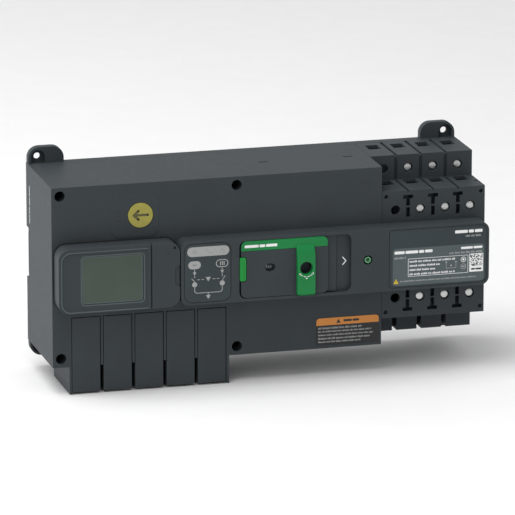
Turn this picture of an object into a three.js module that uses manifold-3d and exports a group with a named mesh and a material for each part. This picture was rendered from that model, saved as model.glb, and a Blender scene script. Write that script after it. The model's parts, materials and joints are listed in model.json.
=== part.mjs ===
// Automatic transfer switch: a four-pole modular changeover switch for a 35 mm rail or a back plate.
// Millimetres. Origin: the middle of the rail seat, on the centre line of the 45 mm nose.
// +X runs along the rail to the terminals, +Y points back into the wall, +Z is up.
import * as THREE from 'three';
import { mergeVertices } from 'three/addons/utils/BufferGeometryUtils.js';
import Module from 'manifold-3d';

const wasm = await Module();
wasm.setup();

// ---- Driving dimensions ----
const POLE = 18;
const WIDTH = 308.6;
const COVER_WIDTH = 13 * POLE;
const LEFT = -WIDTH / 2;
const RIGHT = WIDTH / 2;
const BOTTOM = -63.9;
const TOP = 63;
const REAR = 5.3;
const COVER_FRONT = -72.2;
const NOSE_FRONT = -86.2;
const SEAM = -3;
const GAP = 0.3;
const WALL = 2.5;
const COVER_RIGHT = LEFT + COVER_WIDTH;
const COVER_BACK = SEAM - GAP;

// 35 mm rail channel, with a land in its floor that the rail rests on
const RAIL_CHANNEL = [-18.3, 17.7];
const RAIL_LAND = 14.5;
const LAND_STEP = 0.5;

// 45 mm nose
const NOSE = [-22.3, 22.7];
const NOSE_LEFT = -67;
const NOSE_CORNER = 5.5;
const NOSE_WALL = 2.2;
const NOSE_ROOM = [-20.6, 21];

// controller
const CONTROLLER_AT = [-110.2, NOSE_FRONT, 0.2];
const CONTROLLER_SIZE = [85.3, 46];
const CONTROLLER_DEPTH = 13.7;
const CONTROLLER_BACK = 26;
const FLAP_LEFT = 22.6;
const FLAP_THICK = 2.9;

// mode slider and the parts behind it
const WINDOW = { x: [-25.9, 54], z: [-20.3, 20.7], corner: 4.5 };
const SLIDER = { x: [-24.5, 37.2], z: [-19.9, 20.4], corner: 4 };
const SLIDER_TRAVEL = 16;
const SHUTTER_RIGHT = 43.7;
const STRAP = [14.5, 27.3];
const STRAP_RISE = 4;
const STRAP_LOW = -20.2;
const HANDLE_Z = -0.5;
const SPINDLE_X = (STRAP[0] + STRAP[1]) / 2 + SLIDER_TRAVEL + 0.1;
const TAB = { x: [-25.5, -21], z: [-7.7, 9] };
const FLOOR_Y = [-82.4, -80.4];
const GUIDE_X = [-18, -8];
const GUIDE_Z = [14.2, -13.4];

// changeover mechanism: the spindle's crank drives the transfer shaft's fork and the plunger's yoke
const SHAFT = { y: -36, z: HANDLE_Z };
const CRANK_RADIUS = 12;
const LEVER_LENGTH = 14.7;
const BALL_Y = SHAFT.y - LEVER_LENGTH;
const BALL_RADIUS = 2.2;
const PLUNGER = { x: 18, y: -40, z: HANDLE_Z };
const HEX_RADIUS = 4.62;
const CONTACT_REACH = 20;
const CONTACT_SWING = THREE.MathUtils.degToRad(30);

// power terminals
const TERMINAL_LEFT = COVER_RIGHT + GAP;
const POLE_ONE = LEFT + 244.15;
const LOWER_LEDGE = -45.6;
const UPPER_LEDGE = 45.1;
const FRONT_TIER = -71.8;
const UPPER_TIER = -41.2;
const LOWER_TIER = -40;
const SCREW_Z = { two: 53.4, one: 31.4, load: -31.4 };
const SCREW_HOLE = 3.4;
const ENTRY_HALF = 4.5;
const ENTRY_Y = { upper: [-21.2, -9.5], front: [-53.2, -41.4] };
const ENTRY_CUT = 6;

// function modules below the controller
const MODULE = { first: -140.7, pitch: 22.25, width: 19.9, z: [-82.5, -29.3], back: -27 };
const MODULE_COUNT = 5;
const BAY = { x: [-142.6, -29.5], bottom: -83.4, top: -27.5, back: -24.2 };

// fixings
const LUG = { width: 25.2, top: 74.6, inset: 0.4, corner: 8, front: -0.5, web: 2 };
const LUG_HOLE = { inset: 7, z: 67.6, radius: 2.3, pocket: 4.9 };
const COVER_SCREWS = { x: [-148.4, -23.9], z: [56.9, -57.8] };

// ---- Finishes ----
const HOUSING = { color: 0x3a4043, roughness: 0.62, metalness: 0 };
const MODULE_GREY = { color: 0x3c4245, roughness: 0.6, metalness: 0 };
const GREEN = { color: 0x2a7d48, roughness: 0.45, metalness: 0 };
const YELLOW = { color: 0x9c9242, roughness: 0.5, metalness: 0 };
const STEEL = { color: 0xc8c8c3, roughness: 0.35, metalness: 1 };
const COPPER = { color: 0xb87a4a, roughness: 0.4, metalness: 1 };
const LCD = { color: 0x4a524b, roughness: 0.25, metalness: 0 };
const BOARD = { color: 0x1f5a36, roughness: 0.55, metalness: 0 };
const COIL = { color: 0x7a3a22, roughness: 0.5, metalness: 0.3 };
const LABEL = { color: 0x58615f, roughness: 0.5, metalness: 0 };
const WARNING = { color: 0xb87332, roughness: 0.5, metalness: 0 };
const NYLON = { color: 0xb9b7ad, roughness: 0.55, metalness: 0 };

// ---- Solids ----
function solid(geometry) {
  const bare = geometry.clone();
  bare.deleteAttribute('normal');
  bare.deleteAttribute('uv');
  const merged = mergeVertices(bare);
  return new wasm.Manifold(new wasm.Mesh({
    numProp: 3,
    vertProperties: new Float32Array(merged.attributes.position.array),
    triVerts: new Uint32Array(merged.index.array),
  }));
}

const middle = ([low, high]) => (low + high) / 2;
const span = ([low, high]) => high - low;
const about = (centre, half) => [centre - half, centre + half];

// x, y and z are [low, high] pairs
function block(x, y, z) {
  const box = new THREE.BoxGeometry(span(x), span(y), span(z));
  return solid(box.translate(middle(x), middle(y), middle(z)));
}

// round bars along each axis; the last two numbers are the axis's place
function rodY(radius, y, x, z, sides = 16) {
  const bar = new THREE.CylinderGeometry(radius, radius, span(y), sides);
  return solid(bar.translate(x, middle(y), z));
}

function rodX(radius, x, y, z, sides = 16) {
  const bar = new THREE.CylinderGeometry(radius, radius, span(x), sides).rotateZ(-Math.PI / 2);
  return solid(bar.translate(middle(x), y, z));
}

function rodZ(radius, z, x, y, sides = 16) {
  const bar = new THREE.CylinderGeometry(radius, radius, span(z), sides).rotateX(Math.PI / 2);
  return solid(bar.translate(x, y, middle(z)));
}

// a shape drawn in x and z, given a depth along y
function plateY(shape, y, curveSegments = 4) {
  const settings = { depth: span(y), bevelEnabled: false, curveSegments };
  return solid(new THREE.ExtrudeGeometry(shape, settings).rotateX(Math.PI / 2).translate(0, y[1], 0));
}

// a shape drawn in y and z, given a length along x
function barX(shape, x) {
  const bar = new THREE.ExtrudeGeometry(shape, { depth: span(x), bevelEnabled: false });
  const turn = new THREE.Matrix4().set(0, 0, 1, 0, 1, 0, 0, 0, 0, 1, 0, 0, 0, 0, 0, 1);
  return solid(bar.applyMatrix4(turn).translate(x[0], 0, 0));
}

// corners: radii at the lower left, lower right, upper right and upper left
function roundedRectangle([left, right], [low, high], corners) {
  const [a, b, c, d] = Array.isArray(corners) ? corners : [corners, corners, corners, corners];
  const shape = new THREE.Shape();
  shape.moveTo(left + a, low).lineTo(right - b, low);
  if (b) shape.absarc(right - b, low + b, b, -Math.PI / 2, 0);
  shape.lineTo(right, high - c);
  if (c) shape.absarc(right - c, high - c, c, 0, Math.PI / 2);
  shape.lineTo(left + d, high);
  if (d) shape.absarc(left + d, high - d, d, Math.PI / 2, Math.PI);
  shape.lineTo(left, low + a);
  if (a) shape.absarc(left + a, low + a, a, Math.PI, 1.5 * Math.PI);
  return shape;
}

const outline = (points) => new THREE.Shape(points.map(([u, v]) => new THREE.Vector2(u, v)));
const join = (first, ...rest) => rest.reduce((whole, next) => whole.add(next), first);
const cut = (first, ...rest) => rest.reduce((whole, next) => whole.subtract(next), first);

function piece(name, shape, finish, at = [0, 0, 0]) {
  const { vertProperties, triVerts } = shape.getMesh();
  const geometry = new THREE.BufferGeometry();
  geometry.setAttribute('position', new THREE.BufferAttribute(vertProperties, 3));
  geometry.setIndex(new THREE.BufferAttribute(triVerts, 1));
  const mesh = new THREE.Mesh(geometry, new THREE.MeshStandardMaterial(finish));
  mesh.name = name;
  mesh.position.set(...at);
  return mesh;
}

function assembly(at, ...members) {
  const group = new THREE.Group();
  group.position.set(...at);
  group.add(...members);
  return group;
}

const poleX = (pole) => POLE_ONE + POLE * pole;
const boundaryX = (pole) => poleX(pole) + POLE / 2;

// ---- Casing ----
const SCREW_PLACES = COVER_SCREWS.x.flatMap((x) => COVER_SCREWS.z.map((z) => [x, z]));
const BEARINGS = [[56, 59], [148.5, 151]];
const BOARD_POSTS = [-58, -22].flatMap((x) => [[x, 44], [x, -44]]);

// one ear with its screw pocket, for the side (-1 left, 1 right) and the end (-1 below, 1 above)
function lug(side, end) {
  const outer = side * (WIDTH / 2 - LUG.inset);
  const x = [outer, outer - side * LUG.width].sort((a, b) => a - b);
  const edge = end > 0 ? TOP : BOTTOM;
  const z = [edge - end * WALL, end * LUG.top].sort((a, b) => a - b);
  const radii = end > 0 ? [0, 0, LUG.corner, LUG.corner] : [LUG.corner, LUG.corner, 0, 0];
  const holeX = outer - side * LUG_HOLE.inset;
  const holeZ = end * LUG_HOLE.z;
  const pocketDepth = [LUG.front - 1, REAR - LUG.web];
  const pocketZ = [holeZ, edge].sort((a, b) => a - b);
  return cut(
    plateY(roundedRectangle(x, z, radii), [LUG.front, REAR]),
    rodY(LUG_HOLE.pocket, pocketDepth, holeX, holeZ, 24),
    block(about(holeX, LUG_HOLE.pocket), pocketDepth, pocketZ),
    rodY(LUG_HOLE.radius, [LUG.front, REAR + 1], holeX, holeZ));
}

// fork-shaped bearing for the transfer shaft, open to the front
function shaftBearing(x) {
  const clearance = HEX_RADIUS + 0.6;
  return cut(
    block(x, [SHAFT.y - 6, SEAM + 1], about(SHAFT.z, 9)),
    rodX(clearance, about(middle(x), 5), SHAFT.y, SHAFT.z),
    block(about(middle(x), 5), [SHAFT.y - 7, SHAFT.y], about(SHAFT.z, clearance)));
}

function rearBase() {
  const channel = block([LEFT - 1, RIGHT + 1], [-LAND_STEP, REAR + 1], RAIL_CHANNEL);
  const land = block([LEFT, RIGHT], [-LAND_STEP - 0.5, 0], about(0, RAIL_LAND));
  const pocketDepth = [SEAM - 1, REAR - 2.7];
  const plate = cut(
    block([LEFT, RIGHT], [SEAM, REAR], [BOTTOM, TOP]),
    channel,
    block([LEFT + 4, RIGHT - 4], pocketDepth, [21, TOP - 3]),
    block([LEFT + 4, -18], pocketDepth, [BOTTOM + 3, -21]),
    block([18, RIGHT - 4], pocketDepth, [BOTTOM + 3, -21]),
    block(about(0, 11.3), [0.9, REAR + 1], [BOTTOM - 1, RAIL_CHANNEL[0] + 1]),
    block(about(0, 12.9), [0.9, 3.1], [BOTTOM - 1, RAIL_CHANNEL[0] - 2]));
  const footing = REAR - 2;
  const posts = [
    ...SCREW_PLACES.map(([x, z]) => rodY(2.9, [-23.7, footing], x, z, 16)),
    ...BOARD_POSTS.map(([x, z]) => rodY(2.5, [-11.7, footing], x, z, 12)),
    ...[30, -30].map((z) => rodY(4, [-23.7, footing], PLUNGER.x, z, 16)),
    rodY(5, [-44, SEAM + 1], SPINDLE_X, HANDLE_Z),
    ...BEARINGS.map(shaftBearing),
  ];
  return cut(
    join(plate, land, ...posts, lug(-1, -1), lug(-1, 1), lug(1, -1), lug(1, 1)),
    rodY(3.35, [-45, -36], SPINDLE_X, HANDLE_Z),
    ...SCREW_PLACES.map(([x, z]) => rodY(1.8, [-24, -5], x, z, 12)));
}

const moduleLeft = (index) => MODULE.first + MODULE.pitch * index;

function moduleBay() {
  const depth = [COVER_FRONT, BAY.back];
  const { x } = BAY;
  return join(
    block(x, depth, [BOTTOM, BAY.top]),
    block([x[0], moduleLeft(0) - 0.4], depth, [BAY.bottom, BOTTOM + 1]),
    block([moduleLeft(MODULE_COUNT - 1) + MODULE.width + 0.4, x[1]], depth, [BAY.bottom, BOTTOM + 1]),
    block(x, [BAY.back - 1.8, BAY.back], [BAY.bottom, BOTTOM + 1]));
}

function moduleSlot(index) {
  const x = [moduleLeft(index) - 0.4, moduleLeft(index) + MODULE.width + 0.4];
  return block(x, [COVER_FRONT - 1, BAY.back - 1.8], [BAY.bottom - 1, MODULE.z[1] + 0.4]);
}

// recess of the mode slider: floor, end walls, slots for the slider's feet and the lock tab
function sliderFloor() {
  const z = [NOSE_ROOM[0] - 0.5, NOSE_ROOM[1] + 0.5];
  const walls = [NOSE_FRONT + NOSE_WALL - 0.2, FLOOR_Y[1]];
  const through = [FLOOR_Y[0] - 1, FLOOR_Y[1] + 1];
  return cut(
    join(
      block([-28.4, 61.8], FLOOR_Y, z),
      block([-28.4, -26.2], walls, z),
      block([60.2, 61.8], walls, z)),
    rodY(4.7, through, SPINDLE_X, HANDLE_Z),
    ...GUIDE_Z.map((centre) => block(
      [GUIDE_X[0] - 0.4, GUIDE_X[1] + SLIDER_TRAVEL + 0.4], through, about(centre, 1.2))),
    block([TAB.x[0] - 0.3, TAB.x[1] + 0.3], through, [TAB.z[0] - 0.3, TAB.z[1] + 0.3]));
}

const DIAL = { x: -92.1, z: 40.4, radius: 8.7, plate: { x: [-112.5, -79.5], z: [25.3, 55.8] } };
const MIMIC = { x: [-65, -31.6], z: [-20.9, 21.1], corner: 6 };
const LAMP = { x: 65.9, z: 1.1, radius: 2.3, hole: 3.3 };
const WARNING_PLATE = { x: [32.7, 78.2], z: [-61.8, -42] };

const RATING_PLATE = { x: [81, 151.9], z: [-20.4, 21.1], corners: [1.5, 5.5, 5.5, 1.5] };

// the part of the nose that reaches over the terminals
function noseExtension() {
  const x = [COVER_RIGHT - 1, RIGHT - 1];
  const inner = [COVER_RIGHT + 1.5, x[1] - 2];
  return cut(
    plateY(roundedRectangle(x, NOSE, [0, 6, 6, 0]), [NOSE_FRONT, FRONT_TIER - GAP]),
    plateY(roundedRectangle(inner, [NOSE[0] + 2, NOSE[1] - 2], [0, 4, 4, 0]),
      [NOSE_FRONT + NOSE_WALL, FRONT_TIER]),
    plateY(roundedRectangle(RATING_PLATE.x, RATING_PLATE.z, RATING_PLATE.corners),
      [NOSE_FRONT - 1, NOSE_FRONT + 0.5]));
}

function frontCover() {
  const shell = cut(
    join(
      block([LEFT, COVER_RIGHT], [COVER_FRONT, COVER_BACK], [BOTTOM, TOP]),
      plateY(roundedRectangle([NOSE_LEFT, COVER_RIGHT], NOSE, [NOSE_CORNER, 0, 0, NOSE_CORNER]),
        [NOSE_FRONT, COVER_FRONT + 1])),
    block([LEFT + WALL, COVER_RIGHT - WALL], [COVER_FRONT + WALL, COVER_BACK + 1],
      [BOTTOM + WALL, TOP - WALL]),
    block([NOSE_LEFT + NOSE_WALL, COVER_RIGHT - WALL], [NOSE_FRONT + NOSE_WALL, COVER_FRONT + WALL + 1],
      NOSE_ROOM),
    plateY(roundedRectangle(WINDOW.x, WINDOW.z, WINDOW.corner), [NOSE_FRONT - 1, NOSE_FRONT + 3]));
  const bosses = SCREW_PLACES.map(([x, z]) => rodY(5.2, [COVER_FRONT + 1, -24], x, z));
  const dialPlate = plateY(
    roundedRectangle(DIAL.plate.x, DIAL.plate.z, 6), [COVER_FRONT - 0.35, COVER_FRONT + 1]);
  const dialSeat = rodY(11, [COVER_FRONT + 1, COVER_FRONT + 4.7], DIAL.x, DIAL.z);
  const controllerHole = block(
    about(CONTROLLER_AT[0], 40.1), [COVER_FRONT - 1, COVER_FRONT + 4], about(CONTROLLER_AT[2], 20));
  return cut(
    join(shell, noseExtension(), ...bosses, dialPlate, dialSeat, sliderFloor(), moduleBay()),
    controllerHole,
    ...Array.from({ length: MODULE_COUNT }, (_, index) => moduleSlot(index)),
    ...SCREW_PLACES.flatMap(([x, z]) => [
      rodY(3.75, [COVER_FRONT - 1, -26], x, z), rodY(2, [-27, -23], x, z, 16)]),
    plateY(roundedRectangle(MIMIC.x, MIMIC.z, MIMIC.corner), [NOSE_FRONT - 1, NOSE_FRONT + 0.8]),
    rodY(LAMP.hole, [NOSE_FRONT - 1, NOSE_FRONT + 3], LAMP.x, LAMP.z, 24),
    rodY(DIAL.radius + 0.35, [COVER_FRONT - 1, COVER_FRONT + 2], DIAL.x, DIAL.z, 32),
    rodY(3.4, [COVER_FRONT, COVER_FRONT + 6], DIAL.x, DIAL.z, 16),
    block(WARNING_PLATE.x, [COVER_FRONT - 1, COVER_FRONT + 0.4], WARNING_PLATE.z),
    ...[4.4, 65].map((x) => block(about(x, 3.65), about(-36.7, 0.9), [TOP - 4, TOP + 1])),
    block(about(COVER_RIGHT, 4), [SHAFT.y - 6, COVER_BACK + 1], about(SHAFT.z, 6.5)));
}

// pockets behind the T-shaped slots
const COMB_POCKETS = [[24.5, 42.8], [-42.8, -24.5]];
const COMB_DEPTH = 6;
const CORNER_SLOT = { x: [150.6, 153.2], y: [-58.9, -56.5] };

function terminalHousing() {
  const x = [TERMINAL_LEFT, RIGHT];
  const outer = outline([
    [COVER_BACK, BOTTOM], [LOWER_TIER, BOTTOM], [LOWER_TIER, LOWER_LEDGE], [FRONT_TIER, LOWER_LEDGE],
    [FRONT_TIER, UPPER_LEDGE], [UPPER_TIER, UPPER_LEDGE], [UPPER_TIER, TOP], [COVER_BACK, TOP]]);
  const room = (back) => outline([
    [back, BOTTOM + WALL], [LOWER_TIER + WALL, BOTTOM + WALL], [LOWER_TIER + WALL, LOWER_LEDGE + WALL],
    [FRONT_TIER + 3.5, LOWER_LEDGE + WALL], [FRONT_TIER + 3.5, UPPER_LEDGE - WALL],
    [UPPER_TIER + WALL, UPPER_LEDGE - WALL], [UPPER_TIER + WALL, TOP - WALL], [back, TOP - WALL]]);
  const boundaries = [0, 1, 2].map(boundaryX);
  const shell = join(
    cut(barX(outer, x), barX(room(COVER_BACK + 1), [x[0] + WALL, x[1] - WALL])),
    ...boundaries.map((at) => barX(room(COVER_BACK), about(at, 0.8))),
    ...boundaries.map((at) => block(about(at, 2.9), [LOWER_TIER, -28], [BOTTOM, LOWER_LEDGE + 1])),
    ...boundaries.flatMap((at) => COMB_POCKETS.map((z) => block(
      about(at, 4.4), [FRONT_TIER + 3, FRONT_TIER + COMB_DEPTH + 1.5], z))));
  return cut(shell,
    block([x[0] - 1, boundaries[2] + 1], [SHAFT.y - 6, COVER_BACK + 1], about(SHAFT.z, 6.5)),
    ...[0, 1, 2, 3].flatMap(poleOpenings),
    ...boundaries.flatMap(boundaryCuts),
    block(CORNER_SLOT.x, CORNER_SLOT.y, [UPPER_LEDGE - 1.8, UPPER_LEDGE + 1]),
    ...[82.95, 151.5].flatMap((at) => [41.3, -41.3].map(
      (z) => rodY(1.5, [FRONT_TIER - 1, FRONT_TIER + 2.5], at, z, 12))));
}

// screw holes and cable entries of one pole
function poleOpenings(pole) {
  const x = poleX(pole);
  const entry = about(x, ENTRY_HALF);
  return [
    rodY(SCREW_HOLE, [FRONT_TIER - 1, FRONT_TIER + 5], x, SCREW_Z.one),
    rodY(SCREW_HOLE, [FRONT_TIER - 1, FRONT_TIER + 5], x, SCREW_Z.load),
    rodY(SCREW_HOLE, [UPPER_TIER - 1, UPPER_TIER + 5], x, SCREW_Z.two),
    block(entry, ENTRY_Y.upper, about(TOP, ENTRY_CUT)),
    block(entry, ENTRY_Y.front, about(UPPER_LEDGE, ENTRY_CUT)),
    block(entry, ENTRY_Y.front, about(LOWER_LEDGE, ENTRY_CUT)),
  ];
}

// grooves, and T-shaped slots for comb pieces, between two poles
function boundaryCuts(at) {
  const slot = [FRONT_TIER - 1, FRONT_TIER + COMB_DEPTH];
  return [
    block(about(at, 1.2), [UPPER_TIER - 1, COVER_BACK + 1], [TOP - 1.6, TOP + 1]),
    block(about(at, 1.2), [UPPER_TIER - 1, UPPER_TIER + 1.8], [UPPER_LEDGE, TOP + 1]),
    block(about(at, 0.9), [FRONT_TIER - 1, UPPER_TIER], [UPPER_LEDGE - 1.8, UPPER_LEDGE + 1]),
    block(about(at, 1.65), [LOWER_TIER - 1, -30], [BOTTOM - 1, LOWER_LEDGE]),
    block(about(at, 3.6), slot, [39.1, 41.8]),
    block(about(at, 1.45), slot, [33.9, 39.2]),
    block(about(at, 1.45), slot, [25.9, 32.9]),
    block(about(at, 3.6), slot, [-41.4, -38.9]),
    block(about(at, 1.45), slot, [-39, -32.9]),
    block(about(at, 1.45), slot, [-31.9, -25.9]),
  ];
}

function ratingLabel() {
  const inset = 0.3;
  const x = [RATING_PLATE.x[0] + inset, RATING_PLATE.x[1] - inset];
  const z = [RATING_PLATE.z[0] + inset, RATING_PLATE.z[1] - inset];
  return plateY(roundedRectangle(x, z, RATING_PLATE.corners), [NOSE_FRONT - 0.05, NOSE_FRONT + 0.45]);
}

function warningLabel() {
  const inset = 0.15;
  const x = [WARNING_PLATE.x[0] + inset, WARNING_PLATE.x[1] - inset];
  const z = [WARNING_PLATE.z[0] + inset, WARNING_PLATE.z[1] - inset];
  return block(x, [COVER_FRONT - 0.05, COVER_FRONT + 0.35], z);
}

function mimicPanel() {
  const inset = 0.3;
  const x = [MIMIC.x[0] + inset, MIMIC.x[1] - inset];
  const z = [MIMIC.z[0] + inset, MIMIC.z[1] - inset];
  return plateY(roundedRectangle(x, z, MIMIC.corner - inset), [NOSE_FRONT + 0.05, NOSE_FRONT + 0.7]);
}

// light pipe from the control side to a ring-shaped lens in the nose
function statusLightPipe() {
  return join(
    cut(rodY(LAMP.radius, [0, 3.4], 0, 0, 24), rodY(LAMP.radius - 1.2, [-1, 0.8], 0, 0)),
    rodY(1.6, [3, 22], 0, 0, 16));
}

// screw with its head towards the front, its head's face at the local origin
function headedScrew(headRadius, headDepth, shankRadius, length) {
  const slotDepth = [-1, headDepth * 0.55];
  return cut(
    join(rodY(headRadius, [0, headDepth], 0, 0), rodY(shankRadius, [headDepth - 0.5, length], 0, 0, 12)),
    block(about(0, headRadius * 0.75), slotDepth, about(0, 0.5)),
    block(about(0, 0.5), slotDepth, about(0, headRadius * 0.75)));
}

function casing() {
  const coverScrews = SCREW_PLACES.map(([x, z], index) => piece(
    `cover_screw_${index + 1}`, headedScrew(3.2, 2.6, 1.5, 19), STEEL, [x, -29, z]));
  return assembly([0, 0, 0],
    piece('rear_base', rearBase(), HOUSING),
    piece('front_cover', frontCover(), HOUSING),
    piece('terminal_housing', terminalHousing(), HOUSING),
    piece('rating_label', ratingLabel(), LABEL),
    piece('warning_label', warningLabel(), WARNING),
    piece('mimic_panel', mimicPanel(), LABEL),
    piece('status_light_pipe', statusLightPipe(), GREEN, [LAMP.x, NOSE_FRONT + 0.4, LAMP.z]),
    piece('rail_latch', railLatch(), NYLON),
    ...coverScrews);
}

// sliding foot that grips the rail's lower edge
function railLatch() {
  return cut(
    join(
      block(about(0, 11), [1.3, 5], [-69, -18.8]),
      block(about(0, 12.5), [1.3, 2.8], [-60, -22]),
      block(about(0, 8), [1.6, 5], [-19, -15.9])),
    block(about(0, 3.5), [0, REAR + 1], [-67.4, -65.2]));
}

// ---- Display controller, drawn about its own front centre ----
const BEZEL = { x: [-40, 19.6], z: [-21.2, 19.5], corners: [6, 1, 1, 6], depth: 0.7 };
const DISPLAY = { x: [-26.3, 16.7], z: [-17, 16.5], corner: 2 };
const PORT = { x: 31, z: -6 };

function controllerBody() {
  const halfX = CONTROLLER_SIZE[0] / 2;
  const halfZ = CONTROLLER_SIZE[1] / 2;
  return cut(
    join(
      plateY(roundedRectangle(about(0, halfX), about(0, halfZ), 8), [0, CONTROLLER_DEPTH]),
      block(about(0, 39.5), [CONTROLLER_DEPTH - 1, CONTROLLER_BACK], about(0, 19.5))),
    block([FLAP_LEFT - 0.4, halfX + 1], [-1, FLAP_THICK + 0.5], about(0, halfZ + 1)),
    plateY(roundedRectangle(BEZEL.x, BEZEL.z, BEZEL.corners), [-1, BEZEL.depth]),
    plateY(roundedRectangle(DISPLAY.x, DISPLAY.z, DISPLAY.corner), [-1, 4]),
    block([-29, 19.2], [3.2, 7], about(0, 18.4)),
    block(about(0, 37.4), [6, CONTROLLER_BACK + 1], about(0, 17.4)),
    block(about(PORT.x, 4.9), [0, 7], about(PORT.z, 2.4)));
}

function lcdGlass() {
  const x = [DISPLAY.x[0] + 0.2, DISPLAY.x[1] - 0.2];
  const z = [DISPLAY.z[0] + 0.2, DISPLAY.z[1] - 0.2];
  return plateY(roundedRectangle(x, z, DISPLAY.corner - 0.2), [1.1, 2.6]);
}

const lcdModule = () => block([-28.4, 18.6], [3.5, 6.8], about(0, 17.9));

function controllerBoard() {
  return join(
    block(about(0, 37), [11, 12.6], about(0, 17)),
    block([-20, -8], [12.5, 15], about(0, 6)),
    block([4, 11], [12.5, 14.5], [-9, -2]),
    block([-32, -26], [12.5, 20], [-14, 14]),
    block([22, 28], [12.5, 18], [4, 14]));
}

function servicePort() {
  return cut(
    block(about(0, 4.5), [0, 6.6], about(0, 2)),
    block(about(0, 3.9), [-1, 4.5], about(0, 1.4)));
}

const GRIP = { x: (right) => [right - 3.4, right + 1], z: [-8.1, 6.4] };

// door hinged on its left edge, which is rounded about the hinge line; its own origin is on that line
function controllerFlap() {
  const radius = FLAP_THICK / 2;
  const right = CONTROLLER_SIZE[0] / 2 - FLAP_LEFT - radius;
  const half = CONTROLLER_SIZE[1] / 2;
  return cut(
    join(
      plateY(roundedRectangle([0, right], about(0, half), [0, 8, 8, 0]), about(0, radius)),
      rodZ(radius, about(0, half), 0, 0, 20)),
    plateY(roundedRectangle(GRIP.x(right), GRIP.z, [3, 0, 0, 3]), [-radius - 1, -radius + 1]),
    rodY(0.9, [-radius - 1, -radius + 1.6], right - 3.8, 19.1, 12));
}

function controller() {
  return assembly(CONTROLLER_AT,
    piece('controller_body', controllerBody(), HOUSING),
    piece('lcd_glass', lcdGlass(), LCD),
    piece('lcd_module', lcdModule(), NYLON),
    piece('controller_board', controllerBoard(), BOARD),
    piece('service_port', servicePort(), STEEL, [PORT.x, 4.1, PORT.z]),
    piece('controller_flap', controllerFlap(), HOUSING,
      [FLAP_LEFT + FLAP_THICK / 2, FLAP_THICK / 2, 0]));
}

// ---- Front controls ----
const STRAP_HOLE = 4.4;
const OVAL = { x: -3.95, z: 0.8, radii: [3.75, 2.95] };
const HEADER_LOW = 13.2;

function ellipse({ x, z, radii }) {
  const shape = new THREE.Shape();
  return shape.absellipse(x, z, radii[0], radii[1], 0, 2 * Math.PI);
}

function sliderCover() {
  const { x, z } = SLIDER;
  const through = [NOSE_FRONT - 5, FLOOR_Y[0] + 5];
  const foot = (centre) => join(
    block(GUIDE_X, [FLOOR_Y[0] - 0.5, FLOOR_Y[1] + 1.2], about(centre, 0.85)),
    block(GUIDE_X, [FLOOR_Y[1] + 0.3, FLOOR_Y[1] + 1.4], about(centre, 2)));
  return cut(
    join(
      plateY(roundedRectangle(x, z, SLIDER.corner), [NOSE_FRONT + 0.1, NOSE_FRONT + 3]),
      block([x[0] + 0.3, SHUTTER_RIGHT], [NOSE_FRONT + 2.5, FLOOR_Y[0] - GAP], [z[0] + 0.2, z[1] - 0.2]),
      ...GUIDE_Z.map(foot)),
    plateY(roundedRectangle([x[0] - 2, TAB.x[1] + 0.4], [TAB.z[0] - 0.4, TAB.z[1] + 0.4], [0, 1.6, 1.6, 0]),
      through),
    plateY(ellipse(OVAL), through, 10),
    rodY(STRAP_HOLE, through, middle(STRAP), HANDLE_Z, 24),
    block([x[0] - 1, x[1] + 1], [NOSE_FRONT - 1, NOSE_FRONT + 1], [HEADER_LOW - 0.15, z[1] + 1]));
}

// green header strip and the raised strap that guides the handle
function sliderTrim() {
  const back = NOSE_FRONT - 0.15;
  const front = NOSE_FRONT - STRAP_RISE;
  const header = plateY(
    roundedRectangle(SLIDER.x, [HEADER_LOW, SLIDER.z[1]], [0, 0, 4, 4]), [NOSE_FRONT, NOSE_FRONT + 0.8]);
  const profile = barX(outline([
    [back, STRAP_LOW], [front + 0.8, STRAP_LOW], [front, STRAP_LOW + 0.8], [front, HEADER_LOW - 4.2],
    [back, HEADER_LOW + 2.6]]), STRAP);
  const strap = profile.intersect(plateY(
    roundedRectangle(STRAP, [STRAP_LOW - 0.1, HEADER_LOW + 3], [1.8, 1.8, 0, 0]), [front - 1, NOSE_FRONT]));
  const root = block(STRAP, [back - 0.3, NOSE_FRONT + 0.5], [HEADER_LOW, HEADER_LOW + 0.5]);
  return cut(join(header, strap, root), rodY(STRAP_HOLE, [front - 1, 0], middle(STRAP), HANDLE_Z, 24));
}

// pull-out tab that takes a padlock through its cross hole
function lockTab() {
  const { x, z } = TAB;
  return cut(
    join(
      plateY(roundedRectangle(x, z, [0.6, 1.4, 1.4, 0.6]), [NOSE_FRONT - 0.6, NOSE_FRONT + 2]),
      block([x[0] + 0.3, x[1] - 0.2], [NOSE_FRONT + 1, -66.5], [z[0] + 1, z[1] - 1]),
      block([x[0] - 0.6, x[1] + 0.6], [-68.5, -66.5], [z[0] - 1.6, z[1] + 1.6])),
    rodX(2.4, about(middle(x), 4), NOSE_FRONT + 7.5, middle(z), 16));
}

// quarter-turn selector: a disc with an arrow groove and a stem, drawn about its own centre
function selectorDial() {
  const grooveDepth = [-1, 0.3];
  const head = (turn) => {
    const bar = new THREE.BoxGeometry(5.2, 2, 1.4).translate(2.2, -0.5, 0).rotateY(turn);
    return solid(bar.translate(-4.8, 0, 0));
  };
  return cut(
    join(rodY(DIAL.radius, [0, 2.3], 0, 0, 32), rodY(3, [2, 6.2], 0, 0)),
    block([-4.2, 4.9], grooveDepth, about(0, 0.7)),
    head(THREE.MathUtils.degToRad(42)),
    head(THREE.MathUtils.degToRad(-42)));
}

function controls() {
  return assembly([0, 0, 0],
    piece('slider_cover', sliderCover(), HOUSING),
    piece('slider_trim', sliderTrim(), GREEN),
    piece('lock_tab', lockTab(), GREEN),
    piece('selector_dial', selectorDial(), YELLOW, [DIAL.x, COVER_FRONT - 0.7, DIAL.z]));
}

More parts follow.
